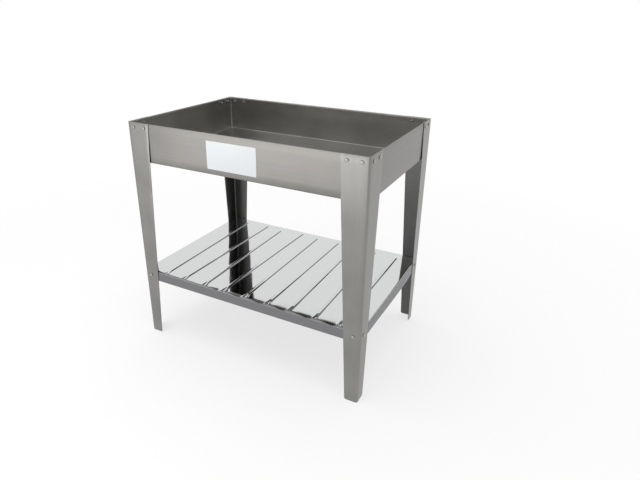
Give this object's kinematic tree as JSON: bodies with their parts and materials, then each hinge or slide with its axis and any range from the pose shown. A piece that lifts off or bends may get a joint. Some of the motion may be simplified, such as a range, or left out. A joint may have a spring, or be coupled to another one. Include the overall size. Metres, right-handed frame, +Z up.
{
  "type": "dairy wash table",
  "caption": "Stainless steel dairy wash table: a drained rectangular trough on tapered angle legs, with a ribbed sheet shelf below.",
  "frame": {"origin": "on the floor, under the middle of the table", "axes": "+X along the long side, to the right of someone who stands at the front; +Y from the front to the back; +Z up. The label is on the front."},
  "size_m": [0.908, 0.608, 0.85],
  "materials": {
    "satin_steel": "satin brushed stainless steel sheet",
    "polished_steel": "mirror polished stainless steel sheet",
    "fastener_steel": "bright stainless steel",
    "rubber": "matt black rubber",
    "label": "smooth off-white vinyl sticker, blank"
  },
  "bodies": {
    "root": {"trough": "satin_steel", "shelf": "polished_steel", "label_blank": "label", "leg_front_left": "satin_steel", "leg_front_right": "satin_steel", "leg_back_right": "satin_steel", "leg_back_left": "satin_steel", "screw_front_left_upper_outer_x": "fastener_steel", "nut_front_left_upper_outer_x": "fastener_steel", "screw_front_left_upper_outer_y": "fastener_steel", "nut_front_left_upper_outer_y": "fastener_steel", "screw_front_left_upper_inner_x": "fastener_steel", "nut_front_left_upper_inner_x": "fastener_steel", "screw_front_left_upper_inner_y": "fastener_steel", "nut_front_left_upper_inner_y": "fastener_steel", "screw_front_left_lower_x": "fastener_steel", "nut_front_left_lower_x": "fastener_steel", "screw_front_left_lower_y": "fastener_steel", "nut_front_left_lower_y": "fastener_steel", "screw_front_right_upper_outer_x": "fastener_steel", "nut_front_right_upper_outer_x": "fastener_steel", "screw_front_right_upper_outer_y": "fastener_steel", "nut_front_right_upper_outer_y": "fastener_steel", "screw_front_right_upper_inner_x": "fastener_steel", "nut_front_right_upper_inner_x": "fastener_steel", "screw_front_right_upper_inner_y": "fastener_steel", "nut_front_right_upper_inner_y": "fastener_steel", "screw_front_right_lower_x": "fastener_steel", "nut_front_right_lower_x": "fastener_steel", "screw_front_right_lower_y": "fastener_steel", "nut_front_right_lower_y": "fastener_steel", "screw_back_right_upper_outer_x": "fastener_steel", "nut_back_right_upper_outer_x": "fastener_steel", "screw_back_right_upper_outer_y": "fastener_steel", "nut_back_right_upper_outer_y": "fastener_steel", "screw_back_right_upper_inner_x": "fastener_steel", "nut_back_right_upper_inner_x": "fastener_steel", "screw_back_right_upper_inner_y": "fastener_steel", "nut_back_right_upper_inner_y": "fastener_steel", "screw_back_right_lower_x": "fastener_steel", "nut_back_right_lower_x": "fastener_steel", "screw_back_right_lower_y": "fastener_steel", "nut_back_right_lower_y": "fastener_steel", "screw_back_left_upper_outer_x": "fastener_steel", "nut_back_left_upper_outer_x": "fastener_steel", "screw_back_left_upper_outer_y": "fastener_steel", "nut_back_left_upper_outer_y": "fastener_steel", "screw_back_left_upper_inner_x": "fastener_steel", "nut_back_left_upper_inner_x": "fastener_steel", "screw_back_left_upper_inner_y": "fastener_steel", "nut_back_left_upper_inner_y": "fastener_steel", "screw_back_left_lower_x": "fastener_steel", "nut_back_left_lower_x": "fastener_steel", "screw_back_left_lower_y": "fastener_steel", "nut_back_left_lower_y": "fastener_steel", "drain_body": "fastener_steel", "drain_grate": "fastener_steel", "drain_backnut": "fastener_steel", "drain_upper_seal": "rubber", "drain_lower_seal": "rubber"}
  },
  "joints": []
}
